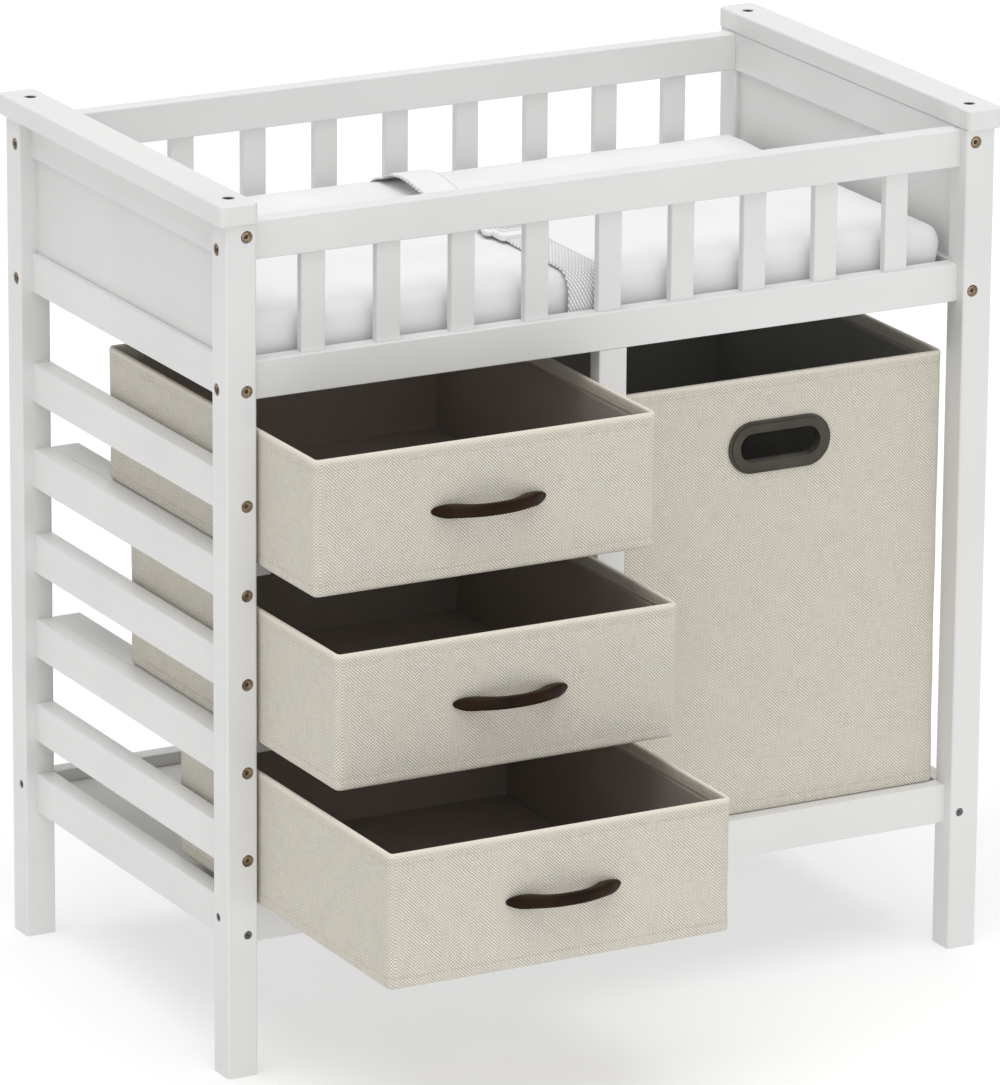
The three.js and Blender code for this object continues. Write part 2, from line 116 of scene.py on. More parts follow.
# The softened pad: the grain of its mesh, the most that it is blown up, the rise of its
# middle, its creases, the press of the strap, the seam's nip and how far in that reaches.
PAD_VOXEL = 0.005
PUFF_CAP = 0.001
CROWN_RISE = 0.0016
CREASE = 0.0009
SETTLE = 0.0012
STRAP_PRESS = 0.0016
SEAM_NIP = 0.0009
NIP_BAND = 0.012

# The strap: where it crosses the pad, its width and thickness, how far it stands off the
# CAD pad's top, and the buckle's middle behind the pad's front.
STRAP_LEFT = 0.369
STRAP_WIDTH = 0.044
STRAP_THICK = 0.002
STRAP_STAND = 0.0018
BUCKLE_BACK = 0.1615
PAD_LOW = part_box("changing_pad")[0]
STRAP_X = (PAD_LOW.x + STRAP_LEFT, PAD_LOW.x + STRAP_LEFT + STRAP_WIDTH)

# The camera: its lens in millimetres, its place, and the direction it looks from, in degrees.
CAMERA_LENS = 274.7
CAMERA_PLACE = (-3.9497, -7.1755, 3.0056)
CAMERA_AZIMUTH = -28.355
CAMERA_ELEVATION = 17.135
CAMERA_ROLL = 0.43


# ---------------------------------------------------------------- material nodes

class Graph:
    """A small helper that adds linked nodes to one material."""

    def __init__(self, name):
        self.material = bpy.data.materials.new(name)
        self.material.use_nodes = True
        self.tree = self.material.node_tree
        self.shader = self.tree.nodes["Principled BSDF"]

    def node(self, kind, **settings):
        made = self.tree.nodes.new(kind)
        for key, value in settings.items():
            setattr(made, key, value)
        return made

    def link(self, source, target):
        self.tree.links.new(source, target)

    def put(self, socket, value):
        if hasattr(value, "is_output"):
            self.link(value, socket)
        else:
            socket.default_value = value

    def math(self, operation, first, second=0.0, clamp=False):
        made = self.node("ShaderNodeMath", operation=operation, use_clamp=clamp)
        self.put(made.inputs[0], first)
        self.put(made.inputs[1], second)
        return made.outputs[0]

    def coords(self):
        return self.node("ShaderNodeTexCoord").outputs["Object"]

    def scaled(self, vector, scale):
        made = self.node("ShaderNodeMapping")
        self.link(vector, made.inputs["Vector"])
        made.inputs["Scale"].default_value = scale
        return made.outputs[0]

    def noise(self, vector, scale, detail=3.0, roughness=0.5):
        made = self.node("ShaderNodeTexNoise")
        self.link(vector, made.inputs["Vector"])
        made.inputs["Scale"].default_value = scale
        made.inputs["Detail"].default_value = detail
        made.inputs["Roughness"].default_value = roughness
        return made.outputs["Fac"]

    def spread(self, value, low, high, from_low=0.0, from_high=1.0):
        made = self.node("ShaderNodeMapRange")
        self.link(value, made.inputs["Value"])
        made.inputs["From Min"].default_value = from_low
        made.inputs["From Max"].default_value = from_high
        made.inputs["To Min"].default_value = low
        made.inputs["To Max"].default_value = high
        return made.outputs["Result"]

    def mix(self, factor, first, second):
        made = self.node("ShaderNodeMix", data_type="RGBA")
        self.put(made.inputs["Factor"], factor)
        self.put(made.inputs[6], first)
        self.put(made.inputs[7], second)
        return made.outputs[2]

    def bump(self, height, distance, strength=1.0, under=None):
        made = self.node("ShaderNodeBump")
        made.inputs["Strength"].default_value = strength
        made.inputs["Distance"].default_value = distance
        self.link(height, made.inputs["Height"])
        if under is not None:
            self.link(under, made.inputs["Normal"])
        return made.outputs["Normal"]

    def finish(self, color, roughness, normal=None, **sockets):
        self.put(self.shader.inputs["Base Color"], color)
        self.put(self.shader.inputs["Roughness"], roughness)
        if normal is not None:
            self.link(normal, self.shader.inputs["Normal"])
        for key, value in sockets.items():
            self.shader.inputs[key.replace("_", " ")].default_value = value
        return self.material


def srgb(red, green, blue):
    """A display colour, 0 to 255, as a linear colour for a shader."""
    def linear(value):
        value /= 255.0
        return value / 12.92 if value <= 0.04045 else ((value + 0.055) / 1.055) ** 2.4
    return (linear(red), linear(green), linear(blue), 1.0)


def darker(tone, share):
    """A share of a colour."""
    return (*(share * channel for channel in tone[:3]), 1.0)


def painted_wood(name, grain, tone=srgb(226, 226, 225), rough=0.4):
    """Satin paint over wood: grain telegraphing through along one axis, and roller stipple."""
    g = Graph(name)
    place = g.coords()
    stretch = {"x": (3, 90, 90), "y": (90, 3, 90), "z": (90, 90, 3)}[grain]
    streaks = g.noise(g.scaled(place, stretch), 1.0, detail=4, roughness=0.6)
    stipple = g.noise(place, 900, detail=2)
    cloud = g.noise(place, 7, detail=2)
    shade = g.mix(g.spread(cloud, 0.0, 1.0, 0.3, 0.7), tone, darker(tone, 0.955))
    color = g.mix(g.spread(streaks, 0.0, 0.14, 0.45, 0.8), shade, darker(tone, 0.93))
    roughness = g.spread(streaks, rough - 0.05, rough + 0.1, 0.3, 0.7)
    grain_normal = g.bump(streaks, 0.0002, 0.22)
    normal = g.bump(stipple, 0.00006, 0.5, grain_normal)
    return g.finish(color, roughness, normal, Specular_IOR_Level=0.45)


def weave_coords(g):
    """Across and along the cloth, in millimetres, from the mesh's own weave map."""
    source = g.node("ShaderNodeUVMap", uv_map="weave").outputs[0]
    parts = g.node("ShaderNodeSeparateXYZ")
    g.link(source, parts.inputs[0])
    return source, parts.outputs[0], parts.outputs[1]


def linen(name, light=srgb(246, 243, 234), dark=srgb(160, 153, 138), across_pitch=3.8,
          along_pitch=3.5):
    """Coarse basket weave of off-white and greige threads, with slubs and faint blotches. Its
    seams are darkened with painted shade and its rolled rim lightened with a painted
    highlight. Pitches are in millimetres."""
    g = Graph(name)
    source, across, along = weave_coords(g)
    drift = g.noise(g.scaled(source, (0.05, 0.05, 1)), 1.0, detail=2)
    shift = g.spread(drift, -1.2, 1.2)
    warp = g.math("SINE", g.math("ADD", g.math("MULTIPLY", across, 2 * math.pi / across_pitch),
                                 shift))
    weft = g.math("SINE", g.math("ADD", g.math("MULTIPLY", along, 2 * math.pi / along_pitch),
                                 shift))
    check = g.math("MULTIPLY", warp, weft)
    over = g.spread(check, 0.0, 1.0, -0.7, 0.6)
    slub_across = g.noise(g.scaled(source, (0.9, 0.05, 1)), 1.0, detail=2)
    slub_along = g.noise(g.scaled(source, (0.05, 0.9, 1)), 1.0, detail=2)
    slub = g.math("ADD", slub_across, slub_along)
    blotch = g.noise(g.scaled(source, (0.03, 0.03, 1)), 1.0, detail=3)
    thread = g.mix(over, dark, light)
    faded = g.mix(g.spread(slub, 0.0, 0.45, 0.8, 1.25), thread, srgb(176, 169, 154))
    tint = g.mix(blotch, srgb(214, 210, 196), srgb(214, 204, 190))
    woven = g.mix(g.spread(blotch, 0.0, 0.3, 0.35, 0.65), faded, tint)
    seam = g.node("ShaderNodeAttribute", attribute_name="seam").outputs["Fac"]
    # Painted shade darkens the cloth along the seams, then a painted highlight lightens the
    # rolled rim.
    color = g.mix(g.math("MULTIPLY", seam, 0.35, clamp=True), woven, srgb(128, 120, 106))
    color = g.mix(g.math("MULTIPLY", seam, -0.6, clamp=True), color, srgb(232, 226, 211))
    height = g.math("ADD", g.math("MULTIPLY", check, 0.7),
                    g.math("MULTIPLY", g.math("ABSOLUTE", warp), 0.3))
    fuzz = g.noise(g.scaled(source, (3, 3, 1)), 1.0, detail=2)
    normal = g.bump(fuzz, 0.0002, 0.4, g.bump(height, 0.0004, 0.7))
    return g.finish(color, g.spread(fuzz, 0.82, 0.97), normal, Specular_IOR_Level=0.15,
                    Sheen_Weight=0.08, Sheen_Roughness=0.6)


def nonwoven(name, tone, spot):
    """Bonded lining cloth: fibrous, with a faint grid of pressed dots."""
    g = Graph(name)
    source, across, along = weave_coords(g)
    wave = 2 * math.pi / 2.0
    dots = g.math("MULTIPLY", g.math("SINE", g.math("MULTIPLY", across, wave)),
                  g.math("SINE", g.math("MULTIPLY", along, wave)))
    fibres = g.noise(g.scaled(source, (1.4, 1.4, 1)), 1.0, detail=5, roughness=0.7)
    cloud = g.noise(g.scaled(source, (0.015, 0.015, 1)), 1.0, detail=2)
    color = g.mix(g.spread(fibres, 0.0, 0.8, 0.35, 0.7), tone, spot)
    color = g.mix(g.spread(cloud, 0.0, 0.3, 0.35, 0.7), color, spot)
    normal = g.bump(fibres, 0.0002, 0.5, g.bump(dots, 0.00015, 0.5))
    return g.finish(color, g.spread(fibres, 0.85, 0.98), normal, Specular_IOR_Level=0.2)


def pad_cloth(name):
    """White wipe-clean knit: a very fine rib and soft creasing."""
    g = Graph(name)
    place = g.coords()
    rib = g.noise(g.scaled(place, (900, 260, 900)), 1.0, detail=2)
    cloud = g.noise(place, 9, detail=3)
    crease = g.noise(g.scaled(place, (14, 30, 30)), 1.0, detail=3, roughness=0.55)
    color = g.mix(g.spread(cloud, 0.0, 1.0, 0.3, 0.7), srgb(236, 236, 236), srgb(230, 230, 230))
    normal = g.bump(rib, 0.00012, 0.35, g.bump(crease, 0.002, 0.22))
    return g.finish(color, g.spread(rib, 0.55, 0.7), normal, Specular_IOR_Level=0.3,
                    Sheen_Weight=0.1)


def webbing(name, pitch=3.7, slant=0.53):
    """White strap with grey twill lines slanting along it, crossed by fainter ones."""
    g = Graph(name)
    source, across, along = weave_coords(g)
    turn = 2 * math.pi / pitch
    lean = g.math("MULTIPLY", along, slant)
    forward = g.math("SINE", g.math("MULTIPLY", g.math("ADD", across, lean), turn))
    backward = g.math("SINE", g.math("MULTIPLY", g.math("SUBTRACT", across, lean), turn))
    fuzz = g.noise(g.scaled(source, (2.2, 2.2, 1)), 1.0, detail=2)
    strong = g.spread(forward, 1.0, 0.0, -1.0, -0.35)
    weak = g.spread(backward, 0.5, 0.0, -1.0, -0.45)
    line = g.math("MAXIMUM", strong, weak)
    color = g.mix(line, srgb(242, 242, 242), srgb(160, 160, 163))
    normal = g.bump(fuzz, 0.0001, 0.4, g.bump(line, 0.0006, 0.8))
    return g.finish(color, g.spread(fuzz, 0.6, 0.8), normal, Sheen_Weight=0.1)


def moulded(name, tone, worn, rough, specular=0.35):
    """Moulded plastic: fine spark texture, a little handling sheen."""
    g = Graph(name)
    place = g.coords()
    grit = g.noise(place, 1400, detail=2)
    cloud = g.noise(place, 25, detail=3)
    color = g.mix(g.spread(cloud, 0.0, 1.0, 0.35, 0.7), tone, worn)
    roughness = g.spread(cloud, rough - 0.06, rough + 0.08, 0.3, 0.7)
    return g.finish(color, roughness, g.bump(grit, 0.00008, 0.5), Specular_IOR_Level=specular)


def metal(name, tone, tarnish, rough, metallic):
    """Plated steel with uneven tarnish."""
    g = Graph(name)
    place = g.coords()
    patch = g.noise(place, 260, detail=4, roughness=0.6)
    color = g.mix(g.spread(patch, 0.0, 1.0, 0.4, 0.65), tone, tarnish)
    roughness = g.spread(patch, rough - 0.08, rough + 0.14, 0.35, 0.65)
    return g.finish(color, roughness, g.bump(patch, 0.00008, 0.4), Metallic=metallic)


def thread(name, tone, shade):
    """Sewing thread, twisted."""
    g = Graph(name)
    twist = g.noise(g.coords(), 2500, detail=1)
    color = g.mix(g.spread(twist, 0.0, 1.0, 0.35, 0.65), tone, shade)
    return g.finish(color, 0.8, g.bump(twist, 0.0001, 0.4))


PAINT = {axis: painted_wood(f"satin_paint_{axis}", axis) for axis in "xyz"}
PANEL_PAINT = painted_wood("satin_paint_panel", "y", srgb(223, 223, 222), 0.46)
LINEN = linen("linen_weave")
LINING = nonwoven("lining_brown", srgb(168, 158, 150), srgb(145, 135, 127))
HAMPER_LINING = nonwoven("lining_grey", srgb(150, 148, 144), srgb(128, 126, 122))
PAD_CLOTH = pad_cloth("pad_knit")
WEBBING = webbing("strap_twill")
BUCKLE = moulded("buckle_plastic", srgb(240, 240, 240), srgb(230, 230, 230), 0.3)
ESPRESSO = moulded("espresso_plastic", srgb(43, 28, 17), srgb(30, 19, 12), 0.33, 0.08)
# A darker grey for the buckle's well between the ribs: painted shade.
BUCKLE_WELL_SHADE = moulded("buckle_well_painted_shade", srgb(184, 184, 186), srgb(172, 172, 174), 0.4)
GROMMET = moulded("grommet_plastic", srgb(68, 64, 54), srgb(56, 53, 45), 0.45)
# In each pair of finishes below, the second is painted shade for a bolt's recessed rings.
BRASS = (metal("antique_brass", srgb(186, 160, 126), srgb(110, 90, 68), 0.38, 0.6),
         metal("brass_painted_shade", srgb(92, 74, 58), srgb(58, 46, 37), 0.5, 0.4))
ZINC = (metal("zinc_plate", srgb(132, 134, 137), srgb(96, 98, 101), 0.45, 0.6),
        metal("zinc_shadowed", srgb(84, 86, 89), srgb(60, 62, 64), 0.5, 0.4))
BLACKENED = (metal("blackened_steel", srgb(74, 71, 68), srgb(48, 46, 44), 0.5, 0.5),
             metal("blackened_steel_painted_shade", srgb(34, 32, 31), srgb(22, 21, 20), 0.75, 0.15))
STITCH = thread("linen_thread", srgb(226, 218, 202), srgb(196, 186, 168))
PATCH = pad_cloth("blank_patch")


# ---------------------------------------------------------------- mesh helpers

def new_object(name, mesh, material, body):
    """A smooth-shaded piece that rides with a body."""
    piece = bpy.data.objects.new(name, mesh)
    bpy.context.scene.collection.objects.link(piece)
    mesh.materials.append(material)
    shade_smooth(mesh)
    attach(piece, body)
    return piece


def mesh_from(name, verts, faces, uvs=None):
    """A mesh, with a weave map in millimetres where each face's corners have one."""
    mesh = bpy.data.meshes.new(name)
    mesh.from_pydata([tuple(v) for v in verts], [], faces)
    if uvs is not None:
        layer = mesh.uv_layers.new(name="weave")
        layer.data.foreach_set("uv", np.asarray(uvs, float).ravel())
    mesh.update()
    return mesh


def ring_faces(rings, around, base=0):
    """Four-sided faces between rings of points that lie one after another, from a base."""
    faces = []
    for ring in range(rings - 1):
        for k in range(around):
            a, b = base + ring * around + k, base + ring * around + (k + 1) % around
            faces.append((a, b, b + around, a + around))
    return faces


def shade_smooth(mesh):
    """Smooth shading on every face of a mesh."""
    mesh.polygons.foreach_set("use_smooth", [True] * len(mesh.polygons))


def add_bevel(piece, width, segments=2):
    """Rounds a piece's edges, with shading that leaves its flat faces flat."""
    bevel = piece.modifiers.new("bevel", "BEVEL")
    bevel.width = width
    bevel.segments = segments
    bevel.limit_method = "ANGLE"
    bevel.angle_limit = math.radians(30)
    bevel.harden_normals = False
    normals = piece.modifiers.new("normals", "WEIGHTED_NORMAL")
    normals.keep_sharp = False
    normals.weight = 80


def rounded_loop(width, depth, radius, step, corner_steps=4):
    """Points, outward normals and running length round a rounded rectangle, from its front
    left, going right. The rectangle's low corner is at 0,0."""
    points, normals = [], []
    corners = [(width - radius, radius, -90), (width - radius, depth - radius, 0),
               (radius, depth - radius, 90), (radius, radius, 180)]
    sides = [width - 2 * radius, depth - 2 * radius] * 2
    start = Vector((radius, 0))
    for index, (cx, cy, first) in enumerate(corners):
        run = Vector((math.cos(math.radians(90 * index)), math.sin(math.radians(90 * index))))
        out = Vector((run.y, -run.x))
        count = max(2, round(sides[index] / step))
        for k in range(count):
            points.append(start + run * (sides[index] * k / count))
            normals.append(out)
        for k in range(corner_steps):
            angle = math.radians(first + 90 * k / corner_steps)
            normals.append(Vector((math.cos(angle), math.sin(angle))))
            points.append(Vector((cx, cy)) + normals[-1] * radius)
        angle = math.radians(first + 90)
        start = Vector((cx, cy)) + Vector((math.cos(angle), math.sin(angle))) * radius
    lengths = [0.0]
    for a, b in zip(points, points[1:] + points[:1]):
        lengths.append(lengths[-1] + (b - a).length)
    return points, normals, lengths


def lofted_wall(origin, loop, profile, sway):
    """Sweeps a profile of (outward offset, height) round a loop. All in millimetres except
    origin. sway(point, height) is a soft push outward. Returns verts, faces and uvs."""
    points, normals, lengths = loop
    verts, uvs = [], []
    rise = [0.0]
    for a, b in zip(profile, profile[1:]):
        rise.append(rise[-1] + math.hypot(b[0] - a[0], b[1] - a[1]))
    for offset, height in profile:
        for point, normal in zip(points, normals):
            out = offset + sway(point, height)
            place = point + normal * out
            verts.append(origin + Vector((place.x, place.y, height)) * MM)
    for low, high in zip(rise, rise[1:]):
        for left, right in zip(lengths, lengths[1:]):
            uvs += [(left, low), (right, low), (right, high), (left, high)]
    return verts, ring_faces(len(profile), len(points)), uvs


def flat_floor(verts, faces, uvs, origin, loop, offset, height, up=True):
    """Adds one many-sided face inside a loop, at a height, facing up or down."""
    points, normals, _ = loop
    base = len(verts)
    ring = []
    for index, (point, normal) in enumerate(zip(points, normals)):
        place = point + normal * offset
        verts.append(origin + Vector((place.x, place.y, height)) * MM)
        ring.append((base + index, (place.x, place.y)))
    if not up:
        ring.reverse()
    faces.append([index for index, _ in ring])
    uvs += [uv for _, uv in ring]


def soft_sway(seed, amount):
    """A slow wander of up to amount millimetres, fixed by its seed."""
    def push(point, height):
        where = Vector((point.x * 0.012, point.y * 0.012, height * 0.02 + seed * 7.3))
        return amount * noise.noise(where)
    return push


def stitch_row(origin, loop, offset, height, pitch=4.6, long=3.2, radius=0.42, sides=5):
    """Small raised stitches round a loop, as one list of verts and faces. A stitch is a
    rod that narrows at its ends."""
    points, normals, lengths = loop
    total = lengths[-1]
    verts, faces = [], []
    for number in range(int(total // pitch)):
        at = number * pitch
        k = next(i for i in range(len(points)) if lengths[i + 1] > at)
        after = (k + 1) % len(points)
        share = (at - lengths[k]) / (lengths[k + 1] - lengths[k])
        middle = points[k].lerp(points[after], share)
        out = normals[k].lerp(normals[after], share).normalized()
        along = Vector((-out.y, out.x))
        centre = middle + out * offset
        base = len(verts)
        for end, thin in ((-0.5, 0.25), (-0.3, 1.0), (0.3, 1.0), (0.5, 0.25)):
            for turn in range(sides):
                angle = math.radians(360 / sides * turn)
                side = out * (math.cos(angle) * radius * thin)
                spot = centre + along * (end * long) + side
                z = height + math.sin(angle) * radius * thin
                verts.append(origin + Vector((spot.x, spot.y, z)) * MM)
        faces += ring_faces(4, sides, base)
        faces.append([base + turn for turn in range(sides - 1, -1, -1)])
        faces.append([base + 3 * sides + turn for turn in range(sides)])
    return verts, faces


def merged(parts):
    """Several lists of verts and faces as one."""
    verts, faces = [], []
    for some_verts, some_faces in parts:
        base = len(verts)
        verts += some_verts
        faces += [[base + index for index in face] for face in some_faces]
    return verts, faces


# ---------------------------------------------------------------- frame finishes

def finish_cad_boards():
    """Paints every wooden CAD node with its grain along its length, and eases its edges."""
    for name in frame["record"]["behaviour"]["bodies"]["table_frame"]:
        piece = NODES[name]
        low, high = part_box(name)
        size = high - low
        axis = "xyz"[max(range(3), key=lambda i: size[i])]
        flat = name.endswith("_panel") or name == "changing_board"
        piece.material_slots[0].material = PANEL_PAINT if flat else PAINT[axis]
        smooth_cad(piece, BOARD_EASE)


def smooth_cad(piece, width):
    """Welds a CAD node's facets and rounds its edges, with modifiers only."""
    mesh = piece.data
    shade_smooth(mesh)
    if "custom_normal" in mesh.attributes:
        mesh.attributes.remove(mesh.attributes["custom_normal"])
    weld = piece.modifiers.new("weld", "WELD")
    weld.merge_threshold = 0.00001
    add_bevel(piece, width)


# ---------------------------------------------------------------- bolts

def bolt_mesh(name, radius, thick, shank=0.0):
    """A flanged bolt head lying in the x,y plane and facing +z: a dished rim, a low dome and
    a six-sided socket. Its flange starts at z = 0 and its shank runs down from there. The
    rim, the groove and the socket take a second, darker finish: painted shade in the recesses."""
    rings = [(radius, -shank), (radius, 0.62 * thick), (radius * 0.9, thick * 0.9),
             (radius * 0.74, thick), (radius * 0.66, thick * 0.62),
             (radius * 0.5, thick * 0.72)]
    socket = [(radius * 0.42, thick * 0.7), (radius * 0.42, thick * 0.2)]
    verts = []
    for out, height in rings + socket:
        for k in range(BOLT_TURNS):
            angle = 2 * math.pi * k / BOLT_TURNS
            flat = math.cos(math.pi / 6) / math.cos((angle % (math.pi / 3)) - math.pi / 6)
            far = out * flat if (out, height) in socket else out
            verts.append(Vector((far * math.cos(angle), far * math.sin(angle), height)) * MM)
    count = len(rings + socket)
    faces = ring_faces(count, BOLT_TURNS)
    faces.append([(count - 1) * BOLT_TURNS + k for k in range(BOLT_TURNS)])
    faces.append(list(range(BOLT_TURNS - 1, -1, -1)))
    dark = [int(ring in PAINTED_SHADE_RINGS) for ring in range(count - 1) for _ in range(BOLT_TURNS)]
    mesh = mesh_from(name, verts, faces)
    mesh.polygons.foreach_set("material_index", dark + [1, 1])
    return mesh


def place_bolt(name, mesh, finishes, at, outward):
    """A copy of a bolt's mesh, facing outward from a point."""
    copy = mesh.copy()
    new_object(name, copy, finishes[0], "table_frame")
    copy.materials.append(finishes[1])
    turn = Vector((0, 0, 1)).rotation_difference(outward).to_matrix().to_4x4()
    copy.transform(Matrix.Translation(at) @ turn)


def add_bolts():
    """A bolt in every counterbore of the posts, and one sunk in each hole of the caps."""
    head = bolt_mesh("bolt_head", *BOLT_HEAD)
    base_head = bolt_mesh("base_bolt_head", *BASE_BOLT_HEAD)
    slats = {f"slat_{n}": sum(v.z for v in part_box(f"left_slat_{n}")) / 2 - SLAT_BOLT_DROP
             for n in range(1, SLATS + 1)}
    for side in ("left", "right"):
        for end in ("front", "back"):
            low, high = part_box(f"post_{end}_{side}")
            x = low.x + BOLT_IN_X if side == "left" else high.x - BOLT_IN_X
            y = low.y + BOLT_IN_Y if end == "front" else high.y - BOLT_IN_Y
            face_y = low.y if end == "front" else high.y
            face_x = low.x if side == "left" else high.x
            out_y = Vector((0, -1 if end == "front" else 1, 0))
            out_x = Vector((-1 if side == "left" else 1, 0, 0))
            rows = {**END_ROWS, **(slats if side == "left" else {})}
            for row, z in rows.items():
                at = Vector((x, face_y, z)) - out_y * BOLT_DEPTH
                shape, finishes = (base_head, ZINC) if row == "base" else (head, BRASS)
                place_bolt(f"bolt_{end}_{side}_{row}", shape, finishes, at, out_y)
            for row, z in SIDE_ROWS.items():
                at = Vector((face_x, y, z)) - out_x * BOLT_DEPTH
                shape, finishes = (base_head, ZINC) if row == "base" else (head, BRASS)
                place_bolt(f"bolt_{side}_{end}_{row}", shape, finishes, at, out_x)
    cap_head = bolt_mesh("cap_bolt_head", *CAP_BOLT_HEAD)
    for side in ("left", "right"):
        low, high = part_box(f"cap_{side}")
        x = low.x + CAP_BOLT_IN_X if side == "left" else high.x - CAP_BOLT_IN_X
        for end, y in (("front", low.y + CAP_BOLT_IN_Y), ("back", high.y - CAP_BOLT_IN_Y)):
            at = Vector((x, y, high.z - CAP_BOLT_DEPTH))
            place_bolt(f"cap_bolt_{end}_{side}", cap_head, BLACKENED, at, Vector((0, 0, 1)))


# ---------------------------------------------------------------- drawers and hamper

def outer_profile(top, foot):
    """The outer cloth of a fabric box, from its foot up, over the rim and down the inner hem
    band, as (outward offset, height) in millimetres. Each seam is one point that lies a
    little inside the cloth's face."""
    wall = BOX_WALL
    profile = [(-foot, 0.0), (-0.6 * foot, 0.07 * foot), (-0.28 * foot, 0.26 * foot),
               (-0.08 * foot, 0.58 * foot), (0.0, foot), (0.0, HEM - 1.2), (SEAM_OUT, HEM),
               (-0.1, HEM + 1.2)]
    steps = max(4, round((top - 2 * HEM) / WALL_STEP))
    for k in range(1, steps):
        share = k / steps
        profile.append((-0.1 - 0.5 * math.sin(math.pi * share), HEM + share * (top - 2 * HEM)))
    profile += [(-0.1, top - HEM - 1.2), (SEAM_OUT, top - HEM), (0.0, top - HEM + 1.2),
                (0.15, top - HEM * 0.5), (0.15, top - 2.6), (-0.3, top - 1.1),
                (-1.1, top - 0.3), (-wall / 2, top - 0.1), (0.9 - wall, top - 0.4),
                (0.1 - wall, top - 1.3), (-wall - 0.25, top - 3.0), (-wall, top - HEM * 0.6),
                (-wall - 0.1, top - HEM - 1.5),
                (-wall + 0.5, top - HEM - 2.2), (-wall + 0.7, top - HEM - 3.6)]
    return profile


def lining_profile(top):
    """The lining of a fabric box, from behind the hem band down to its floor."""
    wall, start = BOX_WALL, top - HEM - 6.0
    profile = [(-wall + 0.35, top - HEM - 2.6), (-wall - 0.55, top - HEM - 3.4),
               (-wall - 0.7, start)]
    steps = max(3, round(top / LINING_STEP))
    for k in range(1, steps + 1):
        share = k / steps
        profile.append((-wall - 0.7 - 0.5 * math.sin(math.pi * share),
                        start * (1 - share) + 8.0 * share))
    return profile + [(-wall - 1.1, 5.0), (-wall - 2.4, 3.4), (-wall - 5.0, LINING_FLOOR)]


def mark_seam_shade_and_rim_highlight(mesh, profile, top, around):
    """Marks the seams of a fabric box for its cloth to darken with painted shade, and its rolled
    rim to lighten with a painted highlight.
    """
    # Seam rows get painted shade, 0.6 at the low hem and 0.15 at the high one; the rolled rim
    # gets -1, a painted highlight.
    shade = {HEM: 0.6, top - HEM: 0.15}
    seams = [-1.0 if z > top - 3.0 and out > 0.5 - BOX_WALL
             else shade.get(z, 0.0) * (out == SEAM_OUT) for out, z in profile]
    seams = np.repeat(seams, around)
    seams = np.append(seams, np.zeros(len(mesh.vertices) - len(seams)))
    mesh.attributes.new("seam", "FLOAT", "POINT").data.foreach_set("value", seams)


def fabric_box(node, body, lining, seed, foot, sway_amount):
    """A stiffened fabric box in place of a CAD one: outer cloth turned over the rim into an
    inner hem band, a lining, a loose base board and rows of stitching."""
    low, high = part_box(node)
    width, depth, top = (high - low) / MM
    sway = soft_sway(seed, sway_amount)
    loop = rounded_loop(width, depth, BOX_CORNER, BOX_STEP)
    def damped(point, z):
        return sway(point, z) * min(1.0, max(0.0, z) / STEADY, max(0.0, top + 8 - z) / STEADY)
    outer = outer_profile(top, foot)
    verts, faces, uvs = lofted_wall(low, loop, outer, damped)
    flat_floor(verts, faces, uvs, low, loop, -foot, 0.0, up=False)
    mesh = mesh_from(f"{node}_cloth", verts, faces, uvs)
    mark_seam_shade_and_rim_highlight(mesh, outer, top, len(loop[0]))
    cloth = new_object(f"{node}_cloth", mesh, LINEN, body)
    verts, faces, uvs = lofted_wall(low, loop, lining_profile(top), damped)
    flat_floor(verts, faces, uvs, low, loop, -BOX_WALL - 5.0, LINING_FLOOR)
    new_object(f"{node}_lining", mesh_from(f"{node}_lining", verts, faces, uvs), lining, body)
    add_base_board(node, body, lining, low, width, depth)
    rows = [stitch_row(low, loop, SEAM_OUT + 0.1, HEM),
            stitch_row(low, loop, SEAM_OUT + 0.1, top - HEM),
            stitch_row(low, loop, -BOX_WALL - 0.25, top - HEM + 1.2)]
    new_object(f"{node}_stitching", mesh_from(f"{node}_stitching", *merged(rows)), STITCH, body)
    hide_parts(node)
    return cloth


def add_base_board(node, body, lining, low, width, depth):
    """The loose lined board in the bottom of a fabric box."""
    inset = BOX_WALL + BOARD_GAP
    loop = rounded_loop(width - 2 * inset, depth - 2 * inset, 6.0, 24.0)
    profile = [(-1.6, 3.3), (-0.5, 3.6), (0.0, 4.3), (0.0, 5.4), (-0.5, 6.2), (-1.8, 6.6)]
    start = low + Vector((inset, inset, 0)) * MM
    verts, faces, uvs = lofted_wall(start, loop, profile, lambda point, z: 0.0)
    flat_floor(verts, faces, uvs, start, loop, -1.8, 6.6)
    flat_floor(verts, faces, uvs, start, loop, -1.6, 3.3, up=False)
    new_object(f"{node}_base_board", mesh_from(f"{node}_base_board", verts, faces, uvs),
               lining, body)


